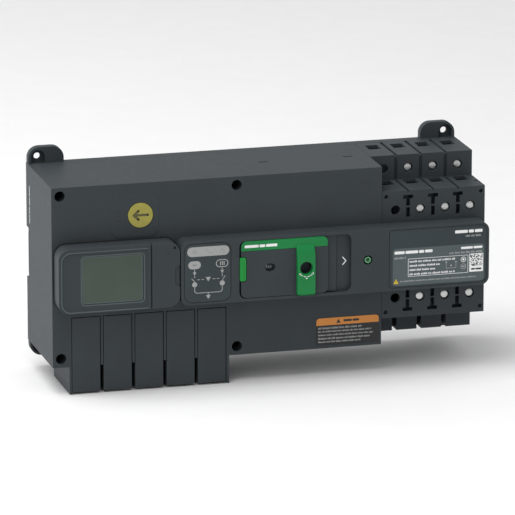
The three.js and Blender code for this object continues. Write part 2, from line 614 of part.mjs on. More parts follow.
// ---- Function modules ----
// cap with an open back, drawn from its lower left front corner's x and the device's z
function functionModule() {
  const wall = 1.4;
  return cut(
    block([0, MODULE.width], [COVER_FRONT, MODULE.back], MODULE.z),
    block([wall, MODULE.width - wall], [COVER_FRONT + wall, MODULE.back + 1],
      [MODULE.z[0] + wall, MODULE.z[1] - wall]));
}

function modules() {
  const row = Array.from({ length: MODULE_COUNT }, (_, index) => piece(
    `function_module_${index + 1}`, functionModule(), MODULE_GREY, [moduleLeft(index), 0, 0]));
  return assembly([0, 0, 0], ...row);
}

// ---- Changeover mechanism ----
function sphere(radius, x, y, z) {
  return solid(new THREE.SphereGeometry(radius, 12, 8).translate(x, y, z));
}

// spindle with a hexagonal socket for the handle, a two-armed crank and a ball on each arm
function driveSpindle() {
  const crank = [-59, -56];
  const arm = (side) => join(
    rodY(1.5, [crank[0] + 1, BALL_Y], side * CRANK_RADIUS, 0, 12),
    sphere(BALL_RADIUS, side * CRANK_RADIUS, BALL_Y, 0));
  return cut(
    join(
      rodY(4.2, [FLOOR_Y[0] + 0.5, -47], 0, 0),
      rodY(3, [-47.5, -38], 0, 0),
      block(about(0, CRANK_RADIUS + 2.5), crank, about(0, 3)),
      arm(-1),
      arm(1)),
    rodY(2.9, [FLOOR_Y[0] - 1, FLOOR_Y[0] + 9], 0, 0, 6));
}

// hexagonal shaft with the fork that the crank's ball turns; drawn about the shaft's axis
function transferShaft() {
  const fork = [-(LEVER_LENGTH + 3.5), -8.5];
  const forkX = [44.8, 51.7];
  return cut(
    join(
      rodX(HEX_RADIUS, [46, 151.2], 0, 0, 6),
      rodX(8, [48, 52], 0, 0),
      block([48, 51.7], [-9.5, 0], about(0, 5.6)),
      block(forkX, fork, about(0, 5.6))),
    block([forkX[0] - 1, forkX[1] + 1], [fork[0] - 1, -10.4], about(0, 3.1)));
}

// copper blade with a hexagonal eye and a rounded tip
function movingContact() {
  const x = about(0, 1.2);
  return cut(
    join(
      rodX(8, x, 0, 0),
      block(x, about(0, 2), [5, CONTACT_REACH]),
      rodX(2, x, 0, CONTACT_REACH, 16)),
    rodX(HEX_RADIUS + 0.35, about(0, 3), 0, 0, 6));
}

function plunger() {
  const yoke = (z) => block([14 - PLUNGER.x, 30.8 - PLUNGER.x], [-12.5, 4], z);
  return join(rodZ(4, about(0, 40), 0, 0), yoke([2.9, 4.4]), yoke([-4.4, -2.9]));
}

function actuatorFrame() {
  const half = 13.6;
  return cut(
    join(
      block(about(0, half), [14, 16], about(0, 45)),
      block(about(0, half), [-14, 16], [43, 45]),
      block(about(0, half), [-14, 16], [-45, -43])),
    rodZ(4.5, about(0, 50), 0, 0));
}

const coil = () => cut(
  join(rodZ(13, [0, 1.5], 0, 0), rodZ(11.8, [1, 26], 0, 0), rodZ(13, [25.5, 27], 0, 0)),
  rodZ(4.6, [-1, 28], 0, 0));

function powerBoard() {
  return join(
    block([-62, -6], [-13.6, -12], [-50, 48]),
    block([-56, -30], [-40, -13], [8, 36]),
    rodY(7, [-45, -13], -18, 28),
    rodY(7, [-45, -13], -18, 10),
    block([-24, -9], [-30, -13], [-22, -4]),
    block([-27, -8], [-26, -13], [-48, -30]));
}

function mechanism() {
  const coilStart = 15.4;
  return assembly([0, 0, 0],
    piece('drive_spindle', driveSpindle(), STEEL, [SPINDLE_X, 0, HANDLE_Z]),
    assembly([0, SHAFT.y, SHAFT.z],
      piece('transfer_shaft', transferShaft(), STEEL),
      ...[1, 2, 3].map((pole) => piece(
        `moving_contact_${pole}`, movingContact(), COPPER, [poleX(pole), 0, 0]))),
    assembly([PLUNGER.x, PLUNGER.y, PLUNGER.z],
      piece('actuator_plunger', plunger(), STEEL),
      piece('actuator_frame', actuatorFrame(), STEEL),
      piece('actuator_coil_upper', coil(), COIL, [0, 0, coilStart]),
      piece('actuator_coil_lower', coil(), COIL, [0, 0, -coilStart - 27])),
    piece('power_board', powerBoard(), BOARD));
}

// ---- Power terminals, drawn about each pole's own middle plane ----
// tunnel clamp: a cable comes in at its upper or lower end and the screw presses it from the front
function clamp(y, z, entersFromAbove) {
  const tunnel = entersFromAbove ? [z[0] + 1.8, z[1] + 1] : [z[0] - 1, z[1] - 1.8];
  return cut(
    block(about(0, 6.4), y, z),
    block(about(0, 4.7), [y[0] + 2.2, y[1] - 1.6], tunnel),
    rodY(2.6, [y[0] - 1, y[0] + 3], 0, middle(z), 16));
}

const SWING_Y = CONTACT_REACH * Math.sin(CONTACT_SWING) + 2 + 0.4;
const CONTACT_LOW = 12;
const LEG = 1.8;

function sourceOneContact() {
  const face = SHAFT.y - SWING_Y;
  return join(
    clamp([-56, -39.6], about(SCREW_Z.one, 7.4), true),
    block(about(0, 3), [face - LEG, face], [CONTACT_LOW, SCREW_Z.one - 7]));
}

function sourceTwoContact() {
  const face = SHAFT.y + SWING_Y;
  return join(
    clamp([-25, -8], about(SCREW_Z.two, 6), true),
    block(about(0, 3), [face, face + LEG], [CONTACT_LOW, SCREW_Z.two - 6]));
}

function loadContact() {
  const ring = SHAFT.z - 8 - 0.4;
  return join(
    clamp([-56, -39.6], about(SCREW_Z.load, 7.4), false),
    block(about(0, 3), [-41.6, -39.8], [SCREW_Z.load + 7, ring]),
    block(about(0, 3), [-41.6, -31], [ring - LEG, ring]));
}

// arc chute: two cheeks joined by splitter bars above the blade's path
function arcChute() {
  const y = [-46.8, -25.4];
  const bars = Array.from({ length: 6 }, (_, index) => block(
    about(0, 7), about(y[0] + 0.8 + index * 3.95, 0.7), [22.3, 23.8]));
  return join(
    block([5.9, 7], y, [9.2, 23]),
    block([-7, -5.9], y, [9.2, 23]),
    ...bars);
}

function phase(pole) {
  const terminal = (length) => headedScrew(3, 2.4, 2.2, length);
  const frontHead = FRONT_TIER + 0.7;
  return assembly([poleX(pole), 0, 0],
    piece(`source_one_contact_${pole}`, sourceOneContact(), COPPER),
    piece(`source_two_contact_${pole}`, sourceTwoContact(), COPPER),
    piece(`load_contact_${pole}`, loadContact(), COPPER),
    piece(`arc_chute_${pole}`, arcChute(), STEEL),
    piece(`source_one_screw_${pole}`, terminal(18), STEEL, [0, frontHead, SCREW_Z.one]),
    piece(`source_two_screw_${pole}`, terminal(18), STEEL, [0, UPPER_TIER + 0.9, SCREW_Z.two]),
    piece(`load_screw_${pole}`, terminal(18), STEEL, [0, frontHead, SCREW_Z.load]));
}

const transferSwitch = assembly([0, 0, 0],
  casing(), controller(), controls(), modules(), mechanism(), phase(1), phase(2), phase(3));

export default transferSwitch;
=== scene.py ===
import json
import math
import random

import bmesh
import bpy
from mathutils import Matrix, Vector

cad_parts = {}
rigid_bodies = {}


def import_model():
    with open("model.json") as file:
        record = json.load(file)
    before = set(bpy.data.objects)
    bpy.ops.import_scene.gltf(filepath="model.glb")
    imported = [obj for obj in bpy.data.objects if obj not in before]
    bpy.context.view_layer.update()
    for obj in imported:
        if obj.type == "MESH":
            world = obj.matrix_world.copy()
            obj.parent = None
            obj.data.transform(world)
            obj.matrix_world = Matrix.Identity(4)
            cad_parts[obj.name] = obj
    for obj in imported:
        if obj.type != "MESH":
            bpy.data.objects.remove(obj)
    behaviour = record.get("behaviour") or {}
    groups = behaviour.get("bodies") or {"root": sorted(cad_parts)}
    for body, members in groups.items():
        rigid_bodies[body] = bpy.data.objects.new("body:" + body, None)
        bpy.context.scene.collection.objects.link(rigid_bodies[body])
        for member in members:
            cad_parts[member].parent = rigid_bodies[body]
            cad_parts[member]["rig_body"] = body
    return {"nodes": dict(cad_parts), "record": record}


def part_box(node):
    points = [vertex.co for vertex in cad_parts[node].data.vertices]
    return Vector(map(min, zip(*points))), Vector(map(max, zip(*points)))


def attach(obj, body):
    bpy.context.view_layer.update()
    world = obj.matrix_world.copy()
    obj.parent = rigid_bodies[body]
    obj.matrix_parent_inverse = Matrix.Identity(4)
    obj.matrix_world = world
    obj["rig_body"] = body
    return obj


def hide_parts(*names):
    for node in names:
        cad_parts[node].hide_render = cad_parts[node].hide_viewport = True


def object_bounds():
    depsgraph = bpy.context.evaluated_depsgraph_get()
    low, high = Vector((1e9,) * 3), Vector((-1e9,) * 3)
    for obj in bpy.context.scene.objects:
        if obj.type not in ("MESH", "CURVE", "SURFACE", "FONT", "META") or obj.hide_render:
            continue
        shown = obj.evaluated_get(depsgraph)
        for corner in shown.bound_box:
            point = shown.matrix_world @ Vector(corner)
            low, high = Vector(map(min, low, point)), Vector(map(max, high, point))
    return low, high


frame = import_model()
cad_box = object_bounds()

MM = 0.001
SOLE = cad_box[0][2]
RIGHT, UP, DOWN = Vector((1, 0, 0)), Vector((0, 0, 1)), Vector((0, 0, -1))
FRONT = Vector((0, -1, 0))
BACK = -FRONT


# ---------------------------------------------------------------- camera, floor and light

CAMERA_PLACE = (-0.9477, -3.5455, 0.9619)
CAMERA_YAW, CAMERA_PITCH = math.radians(15.12), math.radians(14.90)
LENS, SENSOR = 378.3, 36.0
FARTHEST_SEEN = 50.0

FLOOR_REACH = 6.0
FLOOR_DROP = 0.5 * MM
FLOOR_COLOUR = (0.84, 0.84, 0.84)

WORLD_STRENGTH = 0.62
# name, place in metres, width and height in metres, power in watts; each is aimed at the origin
AREA_LIGHTS = [
    ("overhead", (-0.7, -0.3, 1.8), (1.6, 1.2), 30),
    ("left", (-1.9, 0.8, 0.4), (1.2, 1.2), 15),
    ("key", (-1.8, -2.2, 1.4), (1.4, 1.4), 7),
]


def add_object(name, data):
    made = bpy.data.objects.new(name, data)
    bpy.context.scene.collection.objects.link(made)
    return made


def add_camera():
    data = bpy.data.cameras.new("camera")
    data.lens, data.sensor_width = LENS, SENSOR
    data.clip_end = FARTHEST_SEEN
    camera = add_object("camera", data)
    camera.location = CAMERA_PLACE
    camera.rotation_euler = (math.pi / 2 - CAMERA_PITCH, 0.0, -CAMERA_YAW)
    bpy.context.scene.camera = camera
    bpy.context.scene.view_settings.view_transform = "Standard"


def add_area_light(name, place, size, power):
    data = bpy.data.lights.new(name, "AREA")
    data.shape = "RECTANGLE"
    data.size, data.size_y = size
    data.energy = power
    light = add_object(name, data)
    light.location = place
    light.rotation_euler = (-Vector(place)).to_track_quat("-Z", "Y").to_euler()


def add_world(strength):
    world = bpy.data.worlds.new("studio")
    bpy.context.scene.world = world
    world.use_nodes = True
    background = world.node_tree.nodes["Background"]
    background.inputs["Color"].default_value = (1.0, 1.0, 1.0, 1.0)
    background.inputs["Strength"].default_value = strength


def add_floor(finish):
    z = SOLE - FLOOR_DROP
    data = bpy.data.meshes.new("floor")
    corners = [(-FLOOR_REACH, -FLOOR_REACH, z), (FLOOR_REACH, -FLOOR_REACH, z),
               (FLOOR_REACH, FLOOR_REACH, z), (-FLOOR_REACH, FLOOR_REACH, z)]
    data.from_pydata(corners, [], [(0, 1, 2, 3)])
    data.materials.append(finish)
    add_object("floor", data)


# ---------------------------------------------------------------- materials

EDGE_ROUND, EDGE_ROUND_SAMPLES = 0.35 * MM, 6
# edge lightening: partly edge wear, partly a painted highlight along the rounded edges
EDGE_WEAR_AND_SHEEN, EDGE_SHEEN_SAMPLES = 0.8 * MM, 4
WEAR_SHEEN_FACING = (0.97, 0.80)
WEAR_SHEEN_LIGHTER, WEAR_SHEEN_LIFT = 2.2, 0.02
CLOUD_SCALE, CLOUD_DETAIL = 38.0, 5.0
SMUDGE_SCALE, SMUDGE_DETAIL = 260.0, 3.0
GRAIN_SCALE, GRAIN_DETAIL = 2400.0, 2.0
GRAIN_DEPTH = 0.1 * MM
NOISE_MIDDLE = (0.3, 0.7)


def add_node(tree, kind, values=None, **settings):
    node = tree.nodes.new(kind)
    for key, value in settings.items():
        setattr(node, key, value)
    for key, value in (values or {}).items():
        if isinstance(value, bpy.types.NodeSocket):
            tree.links.new(value, node.inputs[key])
        else:
            node.inputs[key].default_value = value
    return node


def shade(colour, factor, lift=0.0):
    """RGBA of a linear colour made lighter or darker."""
    return tuple(min(1.0, c * factor + lift) for c in colour) + (1.0,)


def remap(tree, value, source, target):
    return add_node(tree, "ShaderNodeMapRange", {
        "Value": value, "From Min": source[0], "From Max": source[1],
        "To Min": target[0], "To Max": target[1]}).outputs[0]


def mix(tree, factor, first, second):
    return add_node(tree, "ShaderNodeMix", {0: factor, 6: first, 7: second},
                    data_type="RGBA").outputs[2]


def vector_math(tree, operation, first, second):
    return add_node(tree, "ShaderNodeVectorMath", {0: first, 1: second}, operation=operation)


def noise(tree, place, scale, detail):
    return add_node(tree, "ShaderNodeTexNoise", {
        "Vector": place, "Scale": scale, "Detail": detail}).outputs["Fac"]


def finish(name, colour, rough, grain, clouds=0.09, wear_and_sheen=0.25, smudges=0.06, metal=0.0, coat=0.0,
           brushed=None, round_edges=True, specular=0.5):
    """Procedural surface: colour clouds, fine grain, rounded edges lightened partly as wear and partly as
    a painted highlight.
    """
    made = bpy.data.materials.new(name)
    made.use_nodes = True
    tree = made.node_tree
    tree.nodes.clear()
    place = add_node(tree, "ShaderNodeTexCoord").outputs["Object"]
    cloud = noise(tree, place, CLOUD_SCALE, CLOUD_DETAIL)
    smudge = noise(tree, place, SMUDGE_SCALE, SMUDGE_DETAIL)
    grains_at = vector_math(tree, "MULTIPLY", place, brushed).outputs[0] if brushed else place
    fine = noise(tree, grains_at, GRAIN_SCALE, GRAIN_DETAIL)
    clouded = remap(tree, cloud, NOISE_MIDDLE, (0.0, 1.0))
    body = mix(tree, clouded, shade(colour, 1 - clouds), shade(colour, 1 + clouds))
    # lighter colour on the rounded edges: partly wear, partly a painted highlight where light catches the
    # edges
    if wear_and_sheen:
        around = add_node(tree, "ShaderNodeBevel", {"Radius": EDGE_WEAR_AND_SHEEN},
                          samples=EDGE_SHEEN_SAMPLES).outputs[0]
        own = add_node(tree, "ShaderNodeNewGeometry").outputs["Normal"]
        facing = vector_math(tree, "DOT_PRODUCT", around, own).outputs["Value"]
        worn_or_lit = remap(tree, facing, WEAR_SHEEN_FACING, (0.0, wear_and_sheen))
        body = mix(tree, worn_or_lit, body, shade(colour, WEAR_SHEEN_LIGHTER, WEAR_SHEEN_LIFT))
    roughness = remap(tree, smudge, NOISE_MIDDLE, (rough - smudges, rough + smudges))
    bump = add_node(tree, "ShaderNodeBump", {
        "Height": fine, "Strength": grain, "Distance": GRAIN_DEPTH})
    if round_edges:
        soft = add_node(tree, "ShaderNodeBevel", {"Radius": EDGE_ROUND},
                        samples=EDGE_ROUND_SAMPLES).outputs[0]
        tree.links.new(soft, bump.inputs["Normal"])
    shader = add_node(tree, "ShaderNodeBsdfPrincipled", {
        "Base Color": body, "Roughness": roughness, "Normal": bump.outputs[0],
        "Metallic": metal, "Coat Weight": coat, "Specular IOR Level": specular})
    out = add_node(tree, "ShaderNodeOutputMaterial")
    tree.links.new(shader.outputs[0], out.inputs["Surface"])
    return made


def ink(name, colour):
    return finish(name, colour, rough=0.5, grain=0.1, clouds=0.05, wear_and_sheen=0.0, round_edges=False)


SLOTS = {
    "housing_plastic": finish("housing_plastic", (0.039, 0.047, 0.052), 0.50, grain=0.03,
                              clouds=0.04, smudges=0.02, specular=0.14),
    "module_plastic": finish("module_plastic", (0.040, 0.048, 0.052), 0.50, grain=0.04,
                             clouds=0.05, smudges=0.02, specular=0.14),
    "green_plastic": finish("green_plastic", (0.003, 0.186, 0.043), 0.38, grain=0.06, wear_and_sheen=0.15,
                            specular=0.3),
    "lens_green": finish("lens_green", (0.12, 0.42, 0.18), 0.2, grain=0.05, coat=0.4),
    "yellow_plastic": finish("yellow_plastic", (0.305, 0.275, 0.042), 0.42, grain=0.12, wear_and_sheen=0.2),
    "label_grey": finish("label_grey", (0.037, 0.048, 0.053), 0.46, grain=0.08, wear_and_sheen=0.0,
                         specular=0.18),
    "label_warning": finish("label_warning", (0.006, 0.006, 0.007), 0.45, grain=0.08, wear_and_sheen=0.0),
    "lcd": finish("lcd", (0.050, 0.070, 0.054), 0.35, grain=0.0, wear_and_sheen=0.0, specular=0.3),
    "nylon": finish("nylon", (0.30, 0.29, 0.26), 0.5, grain=0.2),
    "circuit_board": finish("circuit_board", (0.01, 0.10, 0.035), 0.4, grain=0.15),
    "coil": finish("coil", (0.30, 0.07, 0.02), 0.35, grain=0.5, brushed=(1, 1, 12)),
    "steel": finish("steel", (0.55, 0.56, 0.56), 0.34, grain=0.15, metal=1.0, brushed=(1, 1, 9)),
    "screw_steel": finish("screw_steel", (0.56, 0.57, 0.56), 0.33, grain=0.12, metal=1.0),
    "copper": finish("copper", (0.25, 0.14, 0.09), 0.40, grain=0.2, metal=1.0),
}
# nodes whose look differs from the rest of their slot
NODE_FINISH = {
    "lock_tab": finish("tab_green", (0.003, 0.238, 0.031), 0.36, grain=0.06, wear_and_sheen=0.15, specular=0.3),
}
INKS = {
    "white": ink("ink_white", (0.80, 0.80, 0.80)),
    "pale": ink("ink_pale", (0.32, 0.325, 0.32)),
    "grey": ink("ink_grey", (0.22, 0.24, 0.24)),
    "slate": ink("ink_slate", (0.062, 0.084, 0.089)),
    "glass_rim": ink("ink_glass_rim", (0.064, 0.080, 0.084)),
    "lens_rim": ink("ink_lens_rim", (0.012, 0.060, 0.022)),
    "dark": ink("ink_dark", (0.010, 0.011, 0.012)),
    "faint": ink("ink_faint", (0.012, 0.015, 0.016)),
    "orange": ink("ink_orange", (0.56, 0.205, 0.030)),
    "yellow": ink("ink_yellow", (0.62, 0.44, 0.02)),
    "olive": ink("ink_olive", (0.085, 0.072, 0.020)),
}


# ---------------------------------------------------------------- CAD nodes

# starts of the names of the nodes simple enough for a bevel; the others keep their edges
ROUNDED = ("controller_body", "controller_flap", "function_module_", "slider_trim", "lock_tab",
           "rating_label", "mimic_panel", "warning_label")
LABEL_EDGE, MOULDED_EDGE = 0.12 * MM, 0.45 * MM
WELD_REACH = 0.01 * MM
FLAT, SHARP, BEVELLED = math.radians(1), math.radians(30), math.radians(35)


def add_modifier(piece, kind, **settings):
    made = piece.modifiers.new(kind.lower(), kind)
    for key, value in settings.items():
        setattr(made, key, value)


def smooth(piece):
    for polygon in piece.data.polygons:
        polygon.use_smooth = True


def round_edges(piece, width):
    smooth(piece)
    add_modifier(piece, "WELD", merge_threshold=WELD_REACH)
    add_modifier(piece, "DECIMATE", decimate_type="DISSOLVE", angle_limit=FLAT)
    add_modifier(piece, "BEVEL", width=width, segments=2, limit_method="ANGLE",
                 angle_limit=BEVELLED, use_clamp_overlap=False)
    add_modifier(piece, "WEIGHTED_NORMAL", keep_sharp=False)


def keep_edges(piece):
    smooth(piece)
    add_modifier(piece, "WELD", merge_threshold=WELD_REACH)
    add_modifier(piece, "EDGE_SPLIT", split_angle=SHARP)


def dress_nodes():
    for entry in frame["record"]["subparts"]:
        node, slot = entry["node"], entry["material_slot"]
        piece = frame["nodes"][node]
        piece.data.materials.clear()
        piece.data.materials.append(NODE_FINISH.get(node, SLOTS[slot]))
        if node.startswith(ROUNDED):
            round_edges(piece, LABEL_EDGE if slot.startswith("label") else MOULDED_EDGE)
        else:
            keep_edges(piece)


def body_of(node):
    return frame["nodes"][node]["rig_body"]


# ---------------------------------------------------------------- flat printed marks

INK_THICK = 0.03 * MM
INK_SUNK = 0.02 * MM
ARC_STEP = math.radians(12)
FULL_TURN, QUARTER_TURN = 2 * math.pi, math.pi / 2
SHARPEST_MITRE = 0.3

# small print, in shares of the row's height
BLOCK_WIDTHS = (0.30, 0.50)
BLOCK_TOPS = (0.1, 0.3, 0.3)
BLOCK_GAP, GROUP_GAP = 0.2, 0.4
GROUP_SIZES = (3, 7)
BAR_GAP, BAR_CORNER = 0.35, 0.25


def arc_points(u, v, radius, start, end):
    steps = max(2, math.ceil(abs(end - start) / ARC_STEP))
    turns = [start + (end - start) * i / steps for i in range(steps + 1)]
    return [(u + radius * math.cos(t), v + radius * math.sin(t)) for t in turns]


def rounded(u, v, radius):
    """Closed outline of a rectangle from u[0] to u[1] and v[0] to v[1]."""
    if radius <= 0:
        return [(u[0], v[0]), (u[1], v[0]), (u[1], v[1]), (u[0], v[1])]
    centres = [(u[0] + radius, v[0] + radius), (u[1] - radius, v[0] + radius),
               (u[1] - radius, v[1] - radius), (u[0] + radius, v[1] - radius)]
    points = []
    for turns, (cu, cv) in enumerate(centres, start=2):
        points += arc_points(cu, cv, radius, turns * QUARTER_TURN, (turns + 1) * QUARTER_TURN)
    return points


def thick_line(points, width):
    """Outline of an open line of even width with mitred corners."""
    sides = ([], [])
    for i, point in enumerate(points):
        before = Vector(points[max(i - 1, 0)])
        after = Vector(points[min(i + 1, len(points) - 1)])
        here = Vector(point)
        ways = [w.normalized() for w in (here - before, after - here) if w.length > 0]
        along = sum(ways, Vector((0, 0))).normalized()
        across = Vector((-along.y, along.x))
        reach = width / 2 / max(SHARPEST_MITRE, across.dot(Vector((-ways[0].y, ways[0].x))))
        sides[0].append(tuple(here + across * reach))
        sides[1].append(tuple(here - across * reach))
    return sides[0] + sides[1][::-1]


class Print:
    """Marks of one ink on a flat face, in millimetres from a corner: u along one way, v along another."""

    def __init__(self, name, node, colour, origin, along=RIGHT, down=DOWN, layer=1):
        self.name, self.node, self.colour = name, node, colour
        self.origin, self.along, self.down = origin, along, down
        self.out = down.cross(along)
        self.layer = layer
        self.mesh = bmesh.new()

    def place(self, point, height):
        flat = self.along * point[0] * MM + self.down * point[1] * MM
        return self.mesh.verts.new(self.origin + flat + self.out * height)

    def shape(self, outer, inner=None):
        top, bottom = self.layer * INK_THICK, -INK_SUNK
        loops = [outer, inner] if inner else [outer]
        rings = [[self.place(point, height) for point in loop] for loop in loops
                 for height in (top, bottom)]
        count = len(outer)
        faces = []
        steps = [(i, (i + 1) % count) for i in range(count)]
        for upper, lower in zip(rings[0::2], rings[1::2]):
            faces += [(upper[i], lower[i], lower[j], upper[j]) for i, j in steps]
        if inner:
            for a, b in ((rings[0], rings[2]), (rings[1], rings[3])):
                faces += [(a[i], a[j], b[j], b[i]) for i, j in steps]
        else:
            faces += [rings[0], rings[1]]
        for face in faces:
            self.mesh.faces.new(face)
        return self

    def bar(self, u, v, radius=0.0):
        return self.shape(rounded(u, v, radius))

    def frame(self, u, v, radius, stroke):
        least = 0.01
        inside_u = (u[0] + stroke, u[1] - stroke)
        inside_v = (v[0] + stroke, v[1] - stroke)
        inside = rounded(inside_u, inside_v, max(radius - stroke, least))
        return self.shape(rounded(u, v, max(radius, least + stroke)), inside)

    def disc(self, u, v, radius):
        return self.shape(arc_points(u, v, radius, 0, FULL_TURN)[:-1])

    def ring(self, u, v, radius, stroke):
        return self.shape(arc_points(u, v, radius, 0, FULL_TURN)[:-1],
                          arc_points(u, v, radius - stroke, 0, FULL_TURN)[:-1])

    def line(self, points, width):
        return self.shape(thick_line(points, width))

    def arc(self, u, v, radius, start, end, stroke):
        outer = arc_points(u, v, radius + stroke / 2, math.radians(start), math.radians(end))
        inner = arc_points(u, v, radius - stroke / 2, math.radians(start), math.radians(end))
        return self.shape(outer + inner[::-1])

    def text_row(self, u, v, seed):
        """Short plain blocks in groups: the grain of small print, with nothing to read."""
        draw = random.Random(seed)
        tall = v[1] - v[0]
        at = u[0]
        left_in_group = draw.randint(*GROUP_SIZES)
        while at + BLOCK_WIDTHS[0] * tall < u[1]:
            end = at + tall * draw.uniform(*BLOCK_WIDTHS)
            self.bar((at, end), (v[0] + tall * draw.choice(BLOCK_TOPS), v[1]))
            at = end + BLOCK_GAP * tall
            left_in_group -= 1
            if not left_in_group:
                at += GROUP_GAP * tall
                left_in_group = draw.randint(*GROUP_SIZES)
        return self

    def long_bars(self, u, v, parts):
        """Plain bars in place of a name: parts are their shares of the width."""
        tall = v[1] - v[0]
        gap = BAR_GAP * tall
        room = u[1] - u[0] - gap * (len(parts) - 1)
        at = u[0]
        for part in parts:
            end = at + room * part / sum(parts)
            self.bar((at, end), v, BAR_CORNER * tall)
            at = end + gap
        return self

    def finish(self, slot):
        bmesh.ops.recalc_face_normals(self.mesh, faces=self.mesh.faces)
        data = bpy.data.meshes.new(self.name)
        self.mesh.to_mesh(data)
        self.mesh.free()
        data.materials.append(INKS[self.colour])
        made = add_object(self.name, data)
        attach(made, body_of(self.node))


def face_corner(node):
    """Top left front corner of a node's box."""
    low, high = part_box(node)
    return Vector((low.x, low.y, high.z))


def front_centre(node):
    """Middle of the front of a node's box."""
    low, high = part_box(node)
    return Vector(((low.x + high.x) / 2, low.y, (low.z + high.z) / 2))


def width_and_height(node):
    """Width and height of a node's box, in millimetres."""
    low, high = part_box(node)
    return (high.x - low.x) / MM, (high.z - low.z) / MM


# ---------------------------------------------------------------- the three labels

def mimic_print():
    """Single-line diagram: two sources above, the changeover in the middle, the load below."""
    corner = face_corner("mimic_panel")
    wide, tall = width_and_height("mimic_panel")
    pale = Print("mimic_marks", "mimic_panel", "pale", corner)
    icons = Print("mimic_icons", "mimic_panel", "grey", corner, layer=2)
    rim = Print("mimic_rim", "mimic_panel", "dark", corner)
    rim.frame((0.1, wide - 0.1), (0.1, tall - 0.1), 5.6, 0.3)

    # the mode pill and one tag over each source
    left, right, middle = 7.2, 26.7, 16.8
    thin, blob = 0.5, 1.8
    pale.bar((2.0, 31.7), (2.1, 8.9), 3.4)
    pale.bar((2.7, 11.6), (12.0, 17.6), 2.8)
    pale.frame((22.2, 31.0), (11.8, 17.4), 2.8, 0.6)
    for u in (25.2, 26.5, 27.7):
        pale.bar((u, u + 0.7), (13.2, 16.0), 0.2)

    # each source's line, arrow head and switch
    arrow_v, arrow_half, arrow_tall = 19.4, 1.3, 2.4
    for u, drop in ((left, 0.4), (right, 0.0)):
        top = arrow_v + drop
        pale.line([(u, 17.9), (u, top)], thin)
        pale.shape([(u - arrow_half, top), (u + arrow_half, top), (u, top + arrow_tall)])
        pale.line([(u, top + arrow_tall + 0.1), (u, 23.9)], thin)
        pale.disc(u, 28.6, blob)
    pale.line([(left - 2.1, 24.3), (left + 0.2, 26.6)], thin)
    pale.line([(right + 2.1, 23.4), (right + 0.1, 26.6)], thin)

    # dashed link between the switches
    for dash in ((9.0, 10.9), (12.0, 13.8), (19.9, 21.8), (22.8, 24.7)):
        pale.bar(dash, (25.0, 25.45))
    pale.shape([(middle - 1.8, 23.7), (middle + 1.8, 23.7), (middle, 26.9)])

    # the common line down to the load
    bus_v, switch_v, turn = 34.7, 30.5, 1.2
    pale.line([(left, switch_v), (left, bus_v - turn), (left + turn, bus_v), (right - turn, bus_v),
               (right, bus_v - turn), (right, switch_v)], thin)
    load_v = 36.5
    pale.line([(middle, 35.0), (middle, load_v)], thin)
    pale.shape([(middle - 1.7, load_v), (middle + 1.7, load_v), (middle, 39.3)])

    icons.ring(left, 5.5, 1.5, 0.35)
    icons.line([(left - 0.6, 5.5), (left + 0.6, 5.5)], 0.35)
    icons.line([(middle - 2.3, 4.4), (middle - 0.6, 4.4), (middle + 0.9, 6.6), (middle + 2.6, 6.6)], 0.35)
    icons.line([(right - 1.7, 6.9), (right, 4.0), (right + 1.7, 6.9)], 0.35)
    icons.bar((5.6, 8.6), (14.2, 15.4), 0.3)
    for marks in (pale, icons, rim):
        marks.finish("label_grey")


